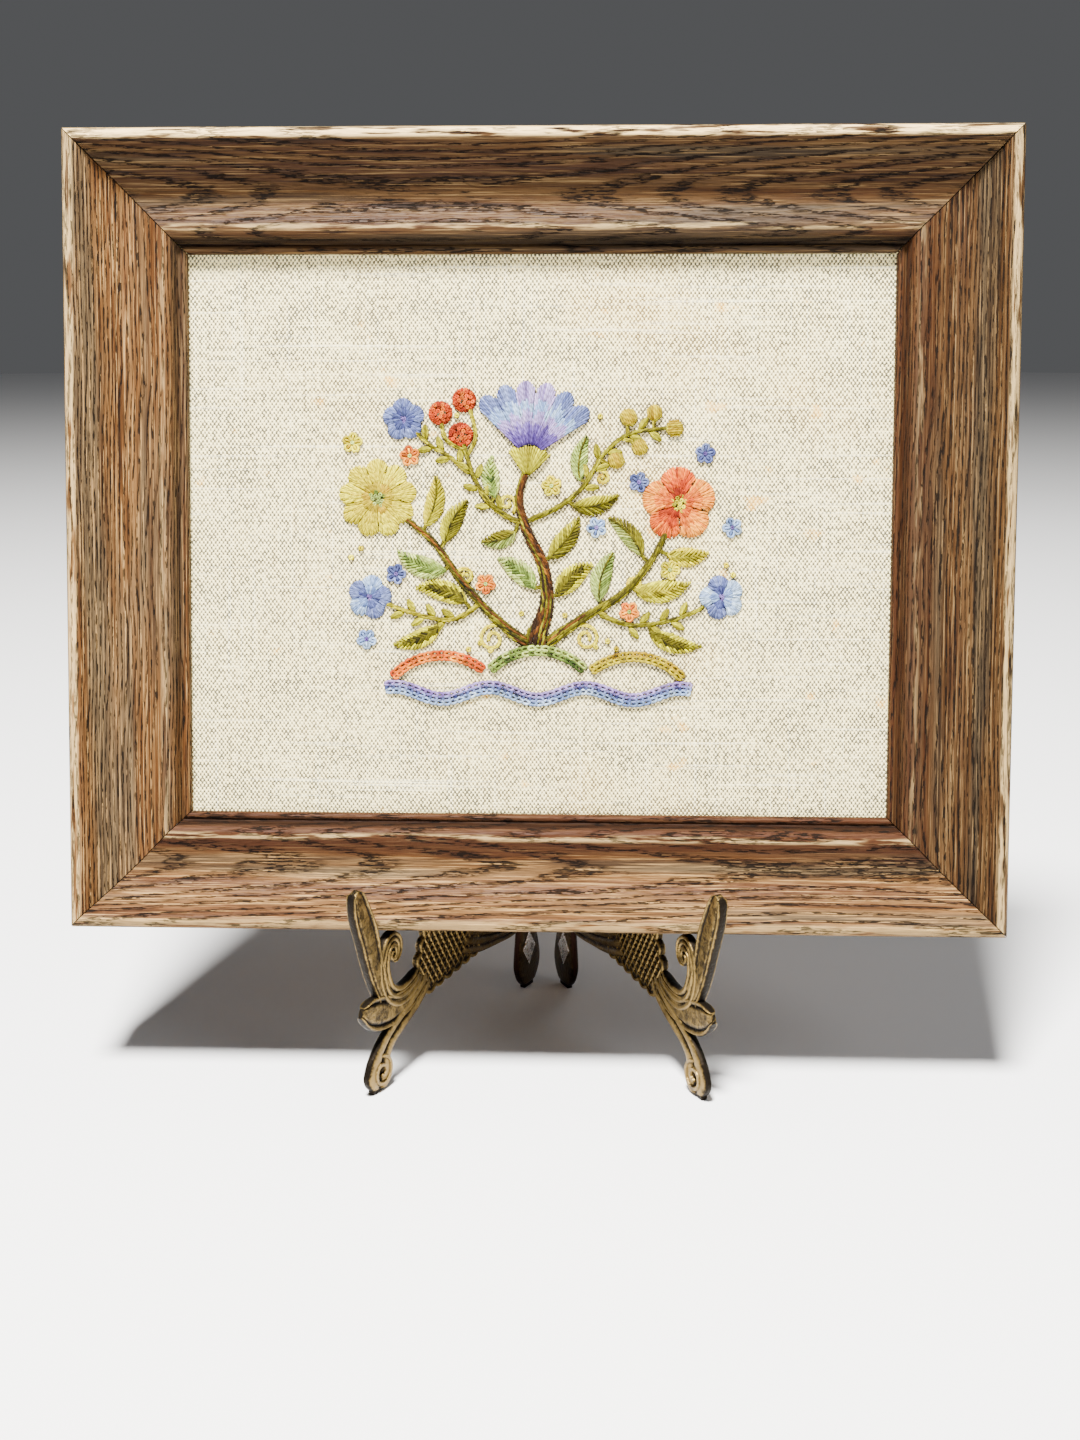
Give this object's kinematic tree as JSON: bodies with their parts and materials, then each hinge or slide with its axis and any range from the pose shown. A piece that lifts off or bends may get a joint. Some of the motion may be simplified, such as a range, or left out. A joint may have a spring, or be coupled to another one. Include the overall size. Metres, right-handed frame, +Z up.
{
  "type": "framed crewel embroidery panel on a folding brass easel stand",
  "caption": "Linen panel with raised crewel wool flowers, stretched in a wide oak moulding frame, leaning back on a folding scrolled brass easel.",
  "frame": {"origin": "on the surface, under the middle of the whole object's box", "axes": "+Z up, +X to the right along the frame's long side, +Y away from the viewer, towards which the panel leans"},
  "size_m": [0.328, 0.1298, 0.3311],
  "materials": {
    "oak": "distressed brown oak, worn paler on the edges, satin",
    "linen": "plain woven natural linen, matt, slightly slubbed and aged",
    "board": "plain brown backing board",
    "brass": "antiqued cast brass, dark in the hollows, rubbed on the ridges",
    "wool_brown": "matt crewel wool",
    "wool_sage": "matt crewel wool",
    "wool_olive": "matt crewel wool",
    "wool_blue": "matt crewel wool",
    "wool_violet": "matt crewel wool",
    "wool_yellow": "matt crewel wool",
    "wool_coral": "matt crewel wool"
  },
  "bodies": {
    "root": {"rail_bottom": "oak", "rail_top": "oak", "rail_left": "oak", "rail_right": "oak", "linen": "linen", "backing_board": "board", "easel_plate_left": "brass", "easel_plate_right": "brass", "hinge_pin": "brass", "stem_centre": "wool_brown", "stem_left": "wool_brown", "stem_right": "wool_brown", "twig_low_left": "wool_olive", "twig_low_right": "wool_olive", "twig_berry": "wool_olive", "twig_star": "wool_olive", "twig_bud": "wool_olive", "leaf_01": "wool_olive", "leaf_02": "wool_sage", "leaf_03": "wool_olive", "leaf_04": "wool_sage", "leaf_05": "wool_olive", "leaf_06": "wool_sage", "leaf_07": "wool_olive", "leaf_08": "wool_sage", "leaf_09": "wool_olive", "leaf_10": "wool_sage", "leaf_11": "wool_olive", "leaf_12": "wool_sage", "leaf_13": "wool_olive", "leaf_14": "wool_sage", "leaf_15": "wool_olive", "leaf_16": "wool_sage", "leaf_17": "wool_olive", "daisy": "wool_yellow", "primrose": "wool_coral", "star_low_left": "wool_blue", "star_low_right": "wool_blue", "star_high": "wool_blue", "berry_1": "wool_coral", "berry_2": "wool_coral", "berry_3": "wool_coral", "bud_1": "wool_yellow", "bud_2": "wool_yellow", "bud_3": "wool_yellow", "bud_4": "wool_yellow", "bud_5": "wool_yellow", "carnation": "wool_violet", "carnation_cup": "wool_olive", "hill_centre": "wool_sage", "hill_left": "wool_coral", "hill_right": "wool_yellow", "wave": "wool_violet"}
  },
  "joints": []
}
